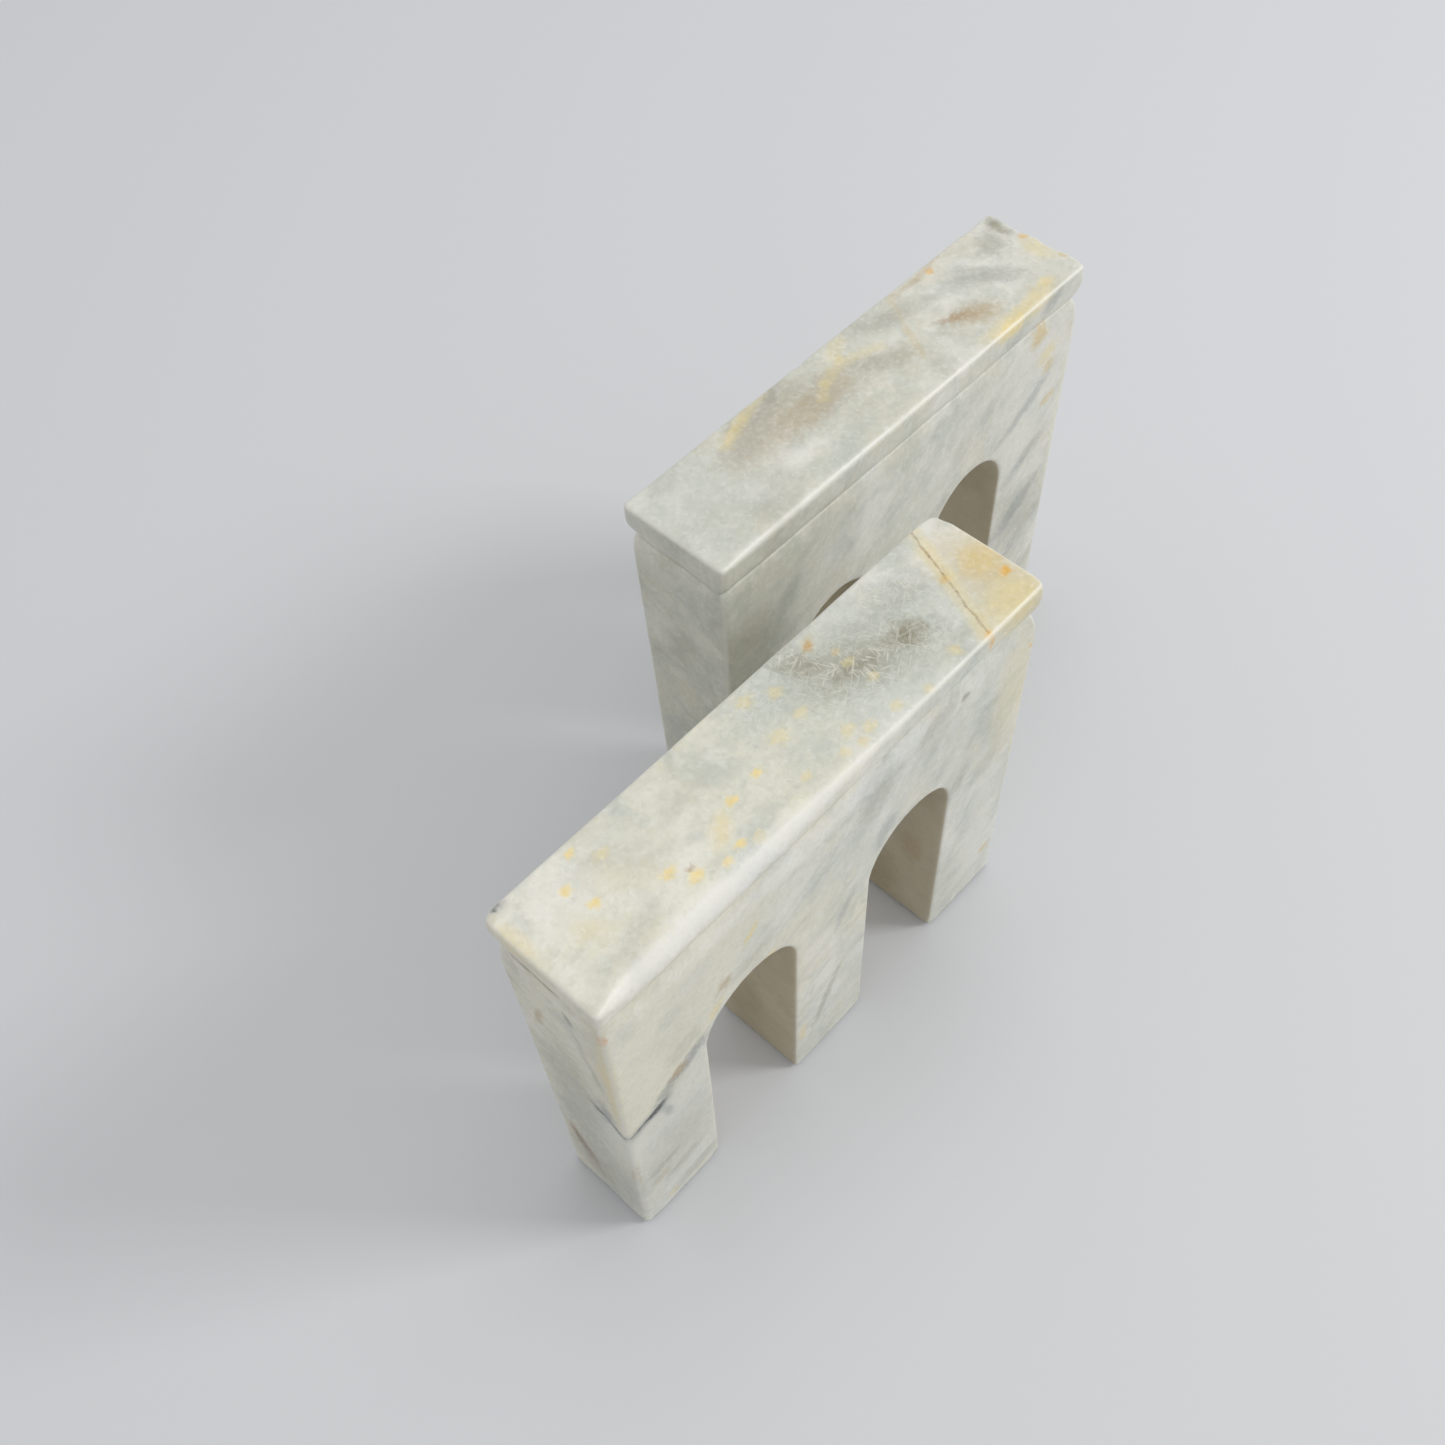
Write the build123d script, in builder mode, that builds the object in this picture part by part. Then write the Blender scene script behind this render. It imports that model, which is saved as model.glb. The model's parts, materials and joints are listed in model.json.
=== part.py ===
"""A pair of stone book ends.

Each end is a slab of stone pierced by two round-headed arches, so that it stands on three
piers. A cap slab is bonded on top, and the rounded arrises on both sides of that joint make a
V-shaped groove round the end. The outer face of each end is upright and its back face leans
in towards the foot. Thin felt pads are glued under the piers.

Millimetres, +Z up, +X along the ends, +Y from the front end through the books to the rear end.
The origin is under the middle of the pair, on the surface that it stands on.
"""

import os

from build123d import *

# ---- one book end -------------------------------------------------------------------------
LENGTH = 216.0  # along X
HEIGHT = 194.5  # from the shelf to the top of the cap
TOP_DEPTH = 50.0  # front to back at the top
FOOT_DEPTH = 42.0  # front to back at the shelf, thinner because the back leans
CAP_THICKNESS = 14.5

# ---- arches and piers ---------------------------------------------------------------------
ARCH_WIDTH = 45.5
MIDDLE_PIER = 41.0
ARCHES_SHIFT = -0.7  # the pair of arches sits a little left of centre
SPRING_HEIGHT = 103.5  # from the shelf to where the round head starts

# ---- edges --------------------------------------------------------------------------------
CORNER_ARRIS = 2.5  # the upright arrises
RIM_ARRIS = 2.0  # the cap's top, and both sides of the joint, where it makes the groove
ARCH_ARRIS = 1.0  # round the mouths of the arches

# ---- felt pads ----------------------------------------------------------------------------
PAD_THICKNESS = 1.5
PAD_MARGIN = 4.0  # from the pad's edge to the edge of its pier
PAD_CORNER = 3.0

# ---- the pair as it stands, with books between --------------------------------------------
BOOK_GAP = 36.0  # between the two ends, at the top
STAGGER = 145.0  # the rear end stands this far along +X from the front end

# ---- worked out ---------------------------------------------------------------------------
JOINT_HEIGHT = HEIGHT - CAP_THICKNESS
ARCH_RADIUS = ARCH_WIDTH / 2
ARCH_OFFSET = (MIDDLE_PIER + ARCH_WIDTH) / 2
LEFT_ARCH = ARCHES_SHIFT - ARCH_OFFSET
RIGHT_ARCH = ARCHES_SHIFT + ARCH_OFFSET
LEAN = (TOP_DEPTH - FOOT_DEPTH) / HEIGHT  # how far the back moves for each mm of height
PIERS = {
    "left": (-LENGTH / 2, LEFT_ARCH - ARCH_RADIUS),
    "middle": (LEFT_ARCH + ARCH_RADIUS, RIGHT_ARCH - ARCH_RADIUS),
    "right": (RIGHT_ARCH + ARCH_RADIUS, LENGTH / 2),
}
PAIR_DEPTH = 2 * TOP_DEPTH + BOOK_GAP
ENDS = {  # name: (middle of the end along X, its upright front face along Y)
    "front": (-STAGGER / 2, -PAIR_DEPTH / 2),
    "rear": (STAGGER / 2, -PAIR_DEPTH / 2 + TOP_DEPTH + BOOK_GAP),
}


def side_profile(front, bottom, top):
    """Corners, in Y and Z, of an end between two heights: upright front, leaning back."""
    return [
        (front, bottom),
        (front + FOOT_DEPTH + LEAN * bottom, bottom),
        (front + FOOT_DEPTH + LEAN * top, top),
        (front, top),
    ]


def corner_arrises(part):
    """The upright arrises at the four corners of a slab."""
    outer = part.faces().sort_by(Axis.X)
    rims = outer[0].edges() + outer[-1].edges()
    return rims.sort_by(lambda edge: abs(edge.tangent_at(0).Z))[-4:]


def rims(part, *ranks):
    """The edges round the lowest (0) or highest (-1) level faces."""
    level = part.faces().filter_by(Axis.Z).sort_by(Axis.Z)
    return [edge for rank in ranks for edge in level[rank].edges()]


def make_block(label, middle, front):
    """The pierced block, from its feet up to the joint."""
    with BuildPart() as block:
        with BuildSketch(Plane.YZ.offset(middle)):
            Polygon(*side_profile(front, PAD_THICKNESS, JOINT_HEIGHT), align=None)
        extrude(amount=LENGTH / 2, both=True)
        fillet(corner_arrises(block), CORNER_ARRIS)
        fillet(rims(block, -1), RIM_ARRIS)
        with BuildSketch(Plane.XZ.offset(-front)):
            with Locations((middle + LEFT_ARCH, 0), (middle + RIGHT_ARCH, 0)):
                Rectangle(ARCH_WIDTH, SPRING_HEIGHT, align=(Align.CENTER, Align.MIN))
            with Locations((middle + LEFT_ARCH, SPRING_HEIGHT), (middle + RIGHT_ARCH, SPRING_HEIGHT)):
                Circle(ARCH_RADIUS)
        extrude(amount=-2 * TOP_DEPTH, mode=Mode.SUBTRACT)
        mouths = block.edges(Select.LAST).filter_by(Axis.Y, reverse=True)
        fillet([edge for edge in mouths if edge.center().Z > PAD_THICKNESS + ARCH_ARRIS], ARCH_ARRIS)
    block.part.label = label
    return block.part


def make_cap(label, middle, front):
    """The cap slab, rounded below at the joint and above along its top."""
    with BuildPart() as cap:
        with BuildSketch(Plane.YZ.offset(middle)):
            Polygon(*side_profile(front, JOINT_HEIGHT, HEIGHT), align=None)
        extrude(amount=LENGTH / 2, both=True)
        fillet(corner_arrises(cap), CORNER_ARRIS)
        fillet(rims(cap, 0, -1), RIM_ARRIS)
    cap.part.label = label
    return cap.part


def make_pad(label, middle, front, pier):
    """A felt pad under one pier."""
    left, right = PIERS[pier]
    with BuildPart() as pad:
        with BuildSketch():
            with Locations((middle + (left + right) / 2, front + FOOT_DEPTH / 2)):
                RectangleRounded(right - left - 2 * PAD_MARGIN, FOOT_DEPTH - 2 * PAD_MARGIN, PAD_CORNER)
        extrude(amount=PAD_THICKNESS)
    pad.part.label = label
    return pad.part


os.makedirs("parts", exist_ok=True)
pieces = []
for end, (middle, front) in ENDS.items():
    pieces.append(make_block(f"{end}_block", middle, front))
    pieces.append(make_cap(f"{end}_cap", middle, front))
    for pier in PIERS:
        pieces.append(make_pad(f"{end}_{pier}_pad", middle, front, pier))

for piece in pieces:
    export_step(piece, f"parts/{piece.label}.step")
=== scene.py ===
"""A pair of marble book ends, each a capped slab on piers with two round-headed arches.

The stone is roughed out from the CAD solids, carved with numpy in millimetres from each end's
own left front corner on the floor, and put back in metres. Felt pads come from a node tree.
"""

import json
import math
from types import SimpleNamespace

import bmesh
import bpy
import numpy as np
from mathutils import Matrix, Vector


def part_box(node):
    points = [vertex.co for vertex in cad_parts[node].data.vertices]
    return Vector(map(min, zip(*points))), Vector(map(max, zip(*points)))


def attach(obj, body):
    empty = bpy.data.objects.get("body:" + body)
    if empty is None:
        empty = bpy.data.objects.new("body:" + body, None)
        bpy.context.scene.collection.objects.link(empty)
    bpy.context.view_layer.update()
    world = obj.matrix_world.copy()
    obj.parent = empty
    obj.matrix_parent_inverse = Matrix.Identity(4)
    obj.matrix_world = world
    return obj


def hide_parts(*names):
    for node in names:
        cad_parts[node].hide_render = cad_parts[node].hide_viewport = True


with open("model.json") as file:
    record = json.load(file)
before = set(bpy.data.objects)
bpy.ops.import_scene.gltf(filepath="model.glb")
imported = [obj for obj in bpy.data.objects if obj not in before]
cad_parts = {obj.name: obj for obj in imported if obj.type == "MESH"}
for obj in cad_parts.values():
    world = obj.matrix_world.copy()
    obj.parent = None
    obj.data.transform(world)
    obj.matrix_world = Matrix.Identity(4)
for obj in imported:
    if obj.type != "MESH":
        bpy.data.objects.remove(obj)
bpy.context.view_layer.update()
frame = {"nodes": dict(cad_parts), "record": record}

MM = 0.001
PIERS = ("left", "middle", "right")

# ---- how the stone is cut, in millimetres ----
PAD_MARGIN = 4.0  # from a felt pad's edge to the edge of its pier
SPRING_HEIGHT = 103.5  # from the floor to where an arch's round head starts
CORNER_ARRIS = 2.6  # upright arrises
SOFT_BACK_CORNER = 2.4  # added at the block's back left arris, which is the most rounded one
ARCH_ARRIS = 1.5  # round the mouths of the arches
JOINT_ARRIS = 0.8  # on both sides of the cap's joint, at the bottom of the groove
SOLE_ARRIS = 0.8  # round the feet
HAND_RIPPLE = 0.35  # how deep the uneven polishing goes
LONG_RIPPLE, SHORT_RIPPLE = 46.0, 13.0  # how far apart its rises are
GROOVE_FADE = {"left": 20.0, "right": 24.0, "front": 18.0, "back": 18.0}  # how far in it is felt
CLIMB_REACH, DIP_REACH = 27.0, 22.0  # how far from the left and right ends the joint isn't level
LIFT_BELOW = 40.0  # how far below the joint the stone follows it up or down
SEAM_HEIGHT, SEAM_RISE, SEAM_BEND, SEAM_TILT = 91.5, 0.1, 0.012, 0.9  # the seam in the front end
SEAM_DEPTH = 0.9  # of the open crack, and of the step under it
CRACK_WIDTH = 1.1  # half the width of the open crack
CRACK_LIP = 0.8  # half the height over which the stone steps in
CHIP_INSET = 14.0  # a chip is pressed towards the stone this far in
CHIP_ROUGHNESS = 0.35
BLOCK_FACE = 1.15  # size of a mesh face on the arched block
CAP_FACE = 0.7  # size of a mesh face on the cap
STEP = 0.02  # for slopes of a distance
LEAST_SLOPE = 0.25  # keeps a point from jumping where two cuts meet, as a square
RIPPLE_WAVES, RIPPLE_SUM = 14, 5.3  # waves in a ripple, and what their sum is divided by

# ---- stone tints, as seen on a screen ----
MILK = (230, 228, 220)
CREAM = (222, 218, 198)
SAND = (214, 207, 186)
COOL = (209, 210, 199)
# a painted highlight colour, for bands where rounded stone catches the window light
PAINTED_HIGHLIGHT = (233, 232, 230)
GREEN_GREY = (184, 189, 180)
PEARL = (208, 210, 205)
SMOKE = (158, 156, 142)
OLIVE = (128, 120, 92)
SLATE = (120, 126, 130)
SOOT = (60, 56, 54)
TAN = (178, 156, 118)
STRAW = (226, 208, 148)
HONEY = (206, 184, 128)
OCHRE = (243, 214, 120)
ORANGE = (224, 174, 66)
RUST = (160, 122, 76)
PLUM = (146, 130, 124)
UMBER = (118, 98, 66)
AMBER = (228, 198, 114)
TOFFEE = (200, 142, 64)
GINGER = (180, 132, 58)
FISSURE = (158, 130, 88)
PALE_NEEDLE = (226, 225, 212)
# tan stain and painted shade inside the arches
REVEAL_TAN_AND_SHADE = (172, 156, 124)
DULL_MOTTLE = (166, 168, 154)
BRIGHT_CRYSTAL, DULL_CRYSTAL = (255, 255, 252), (150, 150, 138)
REAR_WARM, REAR_COOL = (203, 202, 187), (209, 208, 196)
FELT_DARK, FELT_PALE, FELT_PATCH = (70, 54, 42), (122, 98, 78), (84, 70, 60)
FLOOR = (208, 209, 211)


# ---- sizes read from the frame ----
def measure_end(name):
    """Sizes of one book end, in millimetres from its own left front corner on the floor."""
    block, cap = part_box(f"{name}_block"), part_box(f"{name}_cap")
    pads = [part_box(f"{name}_{pier}_pad") for pier in ("left", "middle", "right")]
    corner = Vector((block[0].x, block[0].y, 0.0)) / MM
    gaps = [(a[1].x / MM + PAD_MARGIN, b[0].x / MM - PAD_MARGIN) for a, b in zip(pads, pads[1:])]
    mounts = {mount["name"]: mount for mount in frame["record"]["mounts"]}
    slope = mounts["front_book_face"]["axis"]
    return SimpleNamespace(
        name=name,
        corner=np.array(corner),
        length=(block[1].x - block[0].x) / MM,
        depth=(cap[1].y - cap[0].y) / MM,
        sole=block[0].z / MM,
        joint=block[1].z / MM,
        top=cap[1].z / MM,
        lean=-slope[2] / slope[1],
        arches=[((low + high) / 2 - corner.x, (high - low) / 2) for low, high in gaps],
        pads=pads,
    )


# ---- carving ----
def smooth(value, low, high):
    """Nil below low, one above high, and an even curve between."""
    t = np.clip((value - low) / (high - low), 0.0, 1.0)
    return t * t * (3.0 - 2.0 * t)


def ripple(points, wavelength, seed):
    """A soft uneven field between about -1 and 1, the same on each run."""
    draw = np.random.default_rng(seed)
    total = np.zeros(len(points))
    for _ in range(RIPPLE_WAVES):
        turn = draw.normal(size=3)
        turn *= 2 * math.pi / (wavelength * draw.uniform(0.6, 1.6) * np.linalg.norm(turn))
        total += np.sin(points @ turn + draw.uniform(0, 2 * math.pi))
    return total / RIPPLE_SUM


def meet(first, second, arris):
    """Distance from a solid bounded by two cut faces that meet in a rounded arris."""
    corner = np.hypot(np.maximum(first + arris, 0), np.maximum(second + arris, 0))
    return np.minimum(np.maximum(first, second), -arris) + corner


def sides(end, points, soft=0.0):
    """Distance from the four sides: two square ends, an upright front and a leaning back."""
    x, y, z = points.T
    back = (y - end.depth + end.lean * (end.top - z)) / math.hypot(1.0, end.lean)
    return meet(np.maximum(-x, x - end.length), np.maximum(-y, back), CORNER_ARRIS + soft)


def cap_distance(end, points):
    """Distance from the cap slab, whose top arris is widest where hands have rounded it."""
    x, y, z = points.T
    front = 1.0 - smooth(y, 9.0, 26.0)
    worn = end.worn_front * front * smooth(x, -3.0, 20.0) * (1.0 - 0.93 * smooth(x, 25.0, 170.0))
    lid = meet(sides(end, points), z - end.top, end.top_arris + worn)
    return meet(lid, end.joint - z, JOINT_ARRIS)


def block_distance(end, points):
    """Distance from the block on its three piers."""
    x, y, z = points.T
    soft = SOFT_BACK_CORNER * (1.0 - smooth(x, 4.0, 24.0)) * smooth(y, 26.0, 46.0)
    slab = meet(meet(sides(end, points, soft), z - end.joint, JOINT_ARRIS), end.sole - z, SOLE_ARRIS)
    for middle, radius in end.arches:
        opening = np.hypot(x - middle, np.maximum(z - SPRING_HEIGHT, 0.0)) - radius
        slab = meet(slab, -opening, ARCH_ARRIS)
    return slab


def settle(end, points, distance, rounds=3):
    """Moves points straight onto the cut surface, and gives its outward directions too."""
    steps = STEP * np.eye(3)
    for _ in range(rounds):
        slope = np.stack([distance(end, points + s) - distance(end, points - s) for s in steps], axis=1)
        slope /= 2 * STEP
        length = np.maximum((slope**2).sum(axis=1), LEAST_SLOPE)
        points = points - (distance(end, points) / length)[:, None] * slope
    return points, slope / np.sqrt(length)[:, None]


def relax(points, edges, normals, share=0.4):
    """Evens out the spacing of points along the surface."""
    total, count = np.zeros_like(points), np.zeros(len(points))
    for a, b in (edges.T, edges.T[::-1]):
        np.add.at(total, a, points[b])
        np.add.at(count, a, 1)
    pull = total / count[:, None] - points
    pull -= (pull * normals).sum(axis=1)[:, None] * normals
    return points + share * pull


def notch(z, joint, below, above):
    """The groove's section: a V at the joint that rounds out onto the face on each side."""
    reach = np.where(z < joint, (joint - z) / below, (z - joint) / above)
    return np.clip(1.0 - reach, 0.0, 1.0) ** 2


def cut_groove(end, points):
    """Draws the sides in at the joint, so that cap and block meet in a rounded groove."""
    x, y, z = points.T
    cut = end.groove
    wander = 1.0 + 0.2 * ripple(points * (1, 1, 0), 40.0, 5)
    inside = {"left": x, "right": end.length - x, "front": y, "back": end.depth - y}
    draw = {}
    for side, away in inside.items():
        depth, below, above = cut[side]
        near = np.clip(1.0 - away / GROOVE_FADE[side], 0, 1)
        draw[side] = near * wander * depth * notch(z, end.joint, below, above)
    # on the left end the groove is shallow at the front corner and opens towards the back
    draw["left"] *= 0.15 + 0.15 * smooth(y, 8.0, 22.0) + 0.7 * smooth(y, 38.0, 50.0)
    moved = points.copy()
    moved[:, 0] += draw["left"] - draw["right"]
    moved[:, 1] += draw["front"] - draw["back"]
    return moved


def lift_joint(end, points):
    """The joint isn't quite level: it climbs to the left end and dips at the right one."""
    x, y, z = points.T
    climb = end.joint_climb * np.exp(-((x / CLIMB_REACH) ** 2))
    dip = end.joint_dip * np.exp(-(((end.length - x) / DIP_REACH) ** 2))
    hold = smooth(z, end.joint - LIFT_BELOW, end.joint) * (1.0 - smooth(z, end.joint, end.top - 1.0))
    moved = points.copy()
    moved[:, 2] += (climb - dip) * hold
    return moved


def open_seam(end, points):
    """A natural seam that rises through the left pier; the stone under it lies a little lower."""
    if not end.seam:
        return points
    x, y, z = points.T
    height = z - SEAM_HEIGHT - SEAM_RISE * x - SEAM_BEND * x**2 - SEAM_TILT * y
    crack = np.exp(-((height / CRACK_WIDTH) ** 2)) * (1.0 - smooth(x, 12.0, 24.0))
    lower = smooth(-height, -CRACK_LIP, CRACK_LIP) * (1.0 - smooth(-height, 8.0, 45.0))
    lower *= 1.0 - smooth(x, 8.0, 22.0)
    depth = SEAM_DEPTH * (lower + crack) * (1.0 - smooth(y, 8.0, 18.0))
    moved = points.copy()
    moved[:, 0] += depth * np.clip(1.0 - x / 12.0, 0, 1)
    moved[:, 1] += depth * np.clip(1.0 - y / 12.0, 0, 1)
    return moved


def knock_chips(end, points):
    """Small bruises and broken corners, pressed in towards the middle of the stone."""
    size = np.array((end.length, end.depth, end.top))
    moved = points.copy()
    for place, reach, depth in end.chips:
        place = np.array(place, float)
        inward = np.clip(place, CHIP_INSET, size - CHIP_INSET) - place
        inward /= np.linalg.norm(inward)
        rough = 1.0 + CHIP_ROUGHNESS * ripple(points, reach * 0.9, int(10 * place.sum()))
        near = np.clip(1.0 - (np.linalg.norm(points - place, axis=1) / reach) ** 2, 0, 1) ** 2
        moved += (depth * near * rough)[:, None] * inward
    return moved


def rough_out(node, face):
    """Even small faces over a copy of a CAD solid, ready to carve."""
    mesh = frame["nodes"][node].data.copy()
    shell = bmesh.new()
    shell.from_mesh(mesh)
    bmesh.ops.remove_doubles(shell, verts=shell.verts, dist=1e-6)
    shell.to_mesh(mesh)
    shell.free()
    rough = bpy.data.objects.new("rough", mesh)
    bpy.context.scene.collection.objects.link(rough)
    even = rough.modifiers.new("even faces", "REMESH")
    even.mode = "VOXEL"
    even.voxel_size = face * MM
    bpy.context.view_layer.update()
    graph = bpy.context.evaluated_depsgraph_get()
    result = bpy.data.meshes.new_from_object(rough.evaluated_get(graph))
    bpy.data.objects.remove(rough)
    bpy.data.meshes.remove(mesh)
    return result


def carve(end, node, face, distance, cuts, name):
    """One finished piece of stone, in place of a CAD node."""
    mesh = rough_out(node, face)
    mesh.name = name
    count = len(mesh.vertices)
    points = np.empty(count * 3)
    mesh.vertices.foreach_get("co", points)
    points = points.reshape(-1, 3) / MM - end.corner
    edges = np.empty(len(mesh.edges) * 2, int)
    mesh.edges.foreach_get("vertices", edges)
    edges = edges.reshape(-1, 2)

    points, normals = settle(end, points, distance)
    for _ in range(2):
        points, normals = settle(end, relax(points, edges, normals), distance, 2)
    off_floor = smooth(points[:, 2], end.sole + 0.5, end.sole + 6.0)
    uneven = 0.5 + 0.3 * ripple(points, LONG_RIPPLE, end.seed)
    uneven += 0.12 * ripple(points, SHORT_RIPPLE, end.seed + 1)
    # worn here is the mask of the paler arrises: partly wear, partly painted highlight
    worn = arris_wear_and_highlight(points, normals)
    points = points - (HAND_RIPPLE * np.clip(uneven, 0, 1) * off_floor)[:, None] * normals
    reveal = arch_depth(end, points, normals)
    for cut in cuts:
        points = cut(end, points)

    mesh.vertices.foreach_set("co", ((points + end.corner) * MM).ravel())
    for label, values in (("arris", worn), ("reveal", reveal)):
        mesh.attributes.new(label, "FLOAT", "POINT").data.foreach_set("value", values.astype(np.float32))
    mesh.shade_smooth()
    mesh.update()
    piece = bpy.data.objects.new(name, mesh)
    bpy.context.scene.collection.objects.link(piece)
    return piece


def arris_wear_and_highlight(points, normals):
    """One on a rounded arris and nil on a flat face, for the paler edges: partly the polish and wear they
    take, partly painted highlight.
    """
    flat = np.abs(normals).max(axis=1)
    return 1.0 - smooth(flat, 0.80, 0.985)


def arch_depth(end, points, normals):
    """One inside the arches and nil outside, for the tan tint with painted shade and the duller polish
    there.
    """
    x, _, z = points.T
    inside = np.zeros(len(points))
    for middle, radius in end.arches:
        gap = np.hypot(x - middle, np.maximum(z - SPRING_HEIGHT, 0.0)) - radius
        inside = np.maximum(inside, 1.0 - smooth(gap, 0.4, 1.8))
    return inside * (1.0 - smooth(np.abs(normals[:, 1]), 0.3, 0.9))


# ---- wiring node trees ----
def colour(tint):
    """A linear colour from one as seen on a screen."""
    shade = [c / 255 for c in tint]
    return [c / 12.92 if c <= 0.04045 else ((c + 0.055) / 1.055) ** 2.4 for c in shade] + [1.0]


class Wiring:
    """Short words for wiring a node tree."""

    def __init__(self, tree):
        self.tree = tree

    def node(self, kind, **settings):
        """A new node of a kind, with its settings."""
        node = self.tree.nodes.new(kind)
        for name, value in settings.items():
            setattr(node, name, value)
        return node

    def feed(self, socket, value):
        """Links a socket to another one, or sets its number."""
        if isinstance(value, bpy.types.NodeSocket):
            self.tree.links.new(value, socket)
        elif value is not None:
            socket.default_value = value

    def sum(self, operation, *values, clamp=False):
        """One step of arithmetic."""
        node = self.node("ShaderNodeMath", operation=operation, use_clamp=clamp)
        for socket, value in zip(node.inputs, values):
            self.feed(socket, value)
        return node.outputs[0]

    def vector(self, operation, *values):
        """One step of arithmetic on places."""
        node = self.node("ShaderNodeVectorMath", operation=operation)
        for socket, value in zip(node.inputs, values):
            self.feed(socket, value)
        return node.outputs["Value" if operation in ("LENGTH", "DISTANCE", "DOT_PRODUCT") else "Vector"]

    def spread(self, value, low, high, to_low=0.0, to_high=1.0):
        """An even curve from one amount to another, as a value goes from low to high."""
        node = self.node("ShaderNodeMapRange", interpolation_type="SMOOTHSTEP")
        for socket, given in zip(node.inputs, (value, low, high, to_low, to_high)):
            self.feed(socket, given)
        return node.outputs["Result"]

    def place(self, where, move=(0, 0, 0), turn=(0, 0, 0), scale=(1, 1, 1)):
        """A place moved, turned in degrees and scaled."""
        node = self.node("ShaderNodeMapping")
        self.feed(node.inputs["Vector"], where)
        node.inputs["Location"].default_value = move
        node.inputs["Rotation"].default_value = [math.radians(t) for t in turn]
        node.inputs["Scale"].default_value = scale
        return node.outputs["Vector"]

    def noise(self, where, size, detail=3.0, roughness=0.5, output="Fac"):
        """Soft noise with patches of about a size."""
        node = self.node("ShaderNodeTexNoise")
        self.feed(node.inputs["Vector"], where)
        node.inputs["Scale"].default_value = 1.0 / size
        node.inputs["Detail"].default_value = detail
        node.inputs["Roughness"].default_value = roughness
        return node.outputs[output]

    def cells(self, where, size, output):
        """Crystals of about a size."""
        node = self.node("ShaderNodeTexVoronoi", feature="F1")
        self.feed(node.inputs["Vector"], where)
        node.inputs["Scale"].default_value = 1.0 / size
        return node.outputs[output]

    def blend(self, factor, first, second):
        """One colour laid over another, each of them a tint or a socket."""
        node = self.node("ShaderNodeMix", data_type="RGBA", blend_type="MIX")
        self.feed(node.inputs[0], factor)
        self.feed(node.inputs[6], colour(first) if isinstance(first, tuple) else first)
        self.feed(node.inputs[7], colour(second) if isinstance(second, tuple) else second)
        return node.outputs[2]

    def stir(self, where, size, strength, detail=2.0):
        """Shifts a place by an uneven amount, in millimetres."""
        drift = self.vector("SUBTRACT", self.noise(where, size, detail, output="Color"), (0.5, 0.5, 0.5))
        return self.vector("ADD", where, self.vector("MULTIPLY", drift, (strength, strength, strength)))


# ---- stains and hairlines ----
def new_group(name, inputs):
    """An empty node group with the given inputs and one output named Strength."""
    group = bpy.data.node_groups.new(name, "ShaderNodeTree")
    for label, kind in inputs.items():
        group.interface.new_socket(label, in_out="INPUT", socket_type=kind)
    group.interface.new_socket("Strength", in_out="OUTPUT", socket_type="NodeSocketFloat")
    wiring = Wiring(group)
    return group, wiring, wiring.node("NodeGroupInput").outputs, wiring.node("NodeGroupOutput").inputs


def stain_group():
    """How strongly a stain shows at a place: full at its middle, ragged at its edge."""
    sockets = {"Place": "NodeSocketVector", "Middle": "NodeSocketVector", "Turn": "NodeSocketVector"}
    sockets |= {"Reach": "NodeSocketVector", "Ragged": "NodeSocketFloat", "Grain": "NodeSocketVector"}
    group, wiring, given, result = new_group("stain", sockets)
    away = wiring.vector("SUBTRACT", given["Place"], given["Middle"])
    turned = wiring.node("ShaderNodeVectorRotate", rotation_type="EULER_XYZ", invert=True)
    wiring.feed(turned.inputs["Vector"], away)
    wiring.feed(turned.inputs["Rotation"], given["Turn"])
    gone = wiring.vector("LENGTH", wiring.vector("DIVIDE", turned.outputs[0], given["Reach"]))
    close = wiring.vector("DIVIDE", given["Place"], given["Grain"])
    grit = wiring.sum("SUBTRACT", wiring.noise(close, 1.0, 4.0, 0.65), 0.5)
    edge = wiring.sum("ADD", gone, wiring.sum("MULTIPLY", grit, given["Ragged"]))
    wiring.feed(result["Strength"], wiring.spread(edge, 1.0, 0.25))
    return group


def hairline_group():
    """How strongly a straight hairline shows at a place."""
    sockets = {"Place": "NodeSocketVector", "Start": "NodeSocketVector", "End": "NodeSocketVector"}
    sockets |= {"Width": "NodeSocketFloat", "Ragged": "NodeSocketFloat"}
    group, wiring, given, result = new_group("hairline", sockets)
    run = wiring.vector("SUBTRACT", given["End"], given["Start"])
    away = wiring.vector("SUBTRACT", given["Place"], given["Start"])
    reached, whole = wiring.vector("DOT_PRODUCT", away, run), wiring.vector("DOT_PRODUCT", run, run)
    along = wiring.sum("DIVIDE", reached, whole, clamp=True)
    nearest = wiring.node("ShaderNodeVectorMath", operation="SCALE")
    wiring.feed(nearest.inputs[0], run)
    wiring.feed(nearest.inputs["Scale"], along)
    gone = wiring.vector("DISTANCE", away, nearest.outputs[0])
    grit = wiring.sum("SUBTRACT", wiring.noise(given["Place"], 3.2, 4.0, 0.65), 0.5)
    widths = wiring.sum("DIVIDE", gone, given["Width"])
    edge = wiring.sum("ADD", widths, wiring.sum("MULTIPLY", grit, given["Ragged"]))
    wiring.feed(result["Strength"], wiring.spread(edge, 1.0, 0.2))
    return group


def stain(tint, middle, reach, strength, turn=(0, 0, 0), ragged=0.9, needles=0.0, grain=3.2):
    """A soft patch: its middle and how far it reaches each way, in millimetres, then its turn."""
    return SimpleNamespace(kind="stain", tint=tint, middle=middle, reach=reach, strength=strength,
                           turn=turn, ragged=ragged, needles=needles, grain=grain)


def hairline(tint, points, width, strength, ragged=0.6):
    """A thin vein through a few points."""
    return SimpleNamespace(kind="hairline", tint=tint, points=points, width=width,
                           strength=strength, ragged=ragged)


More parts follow.
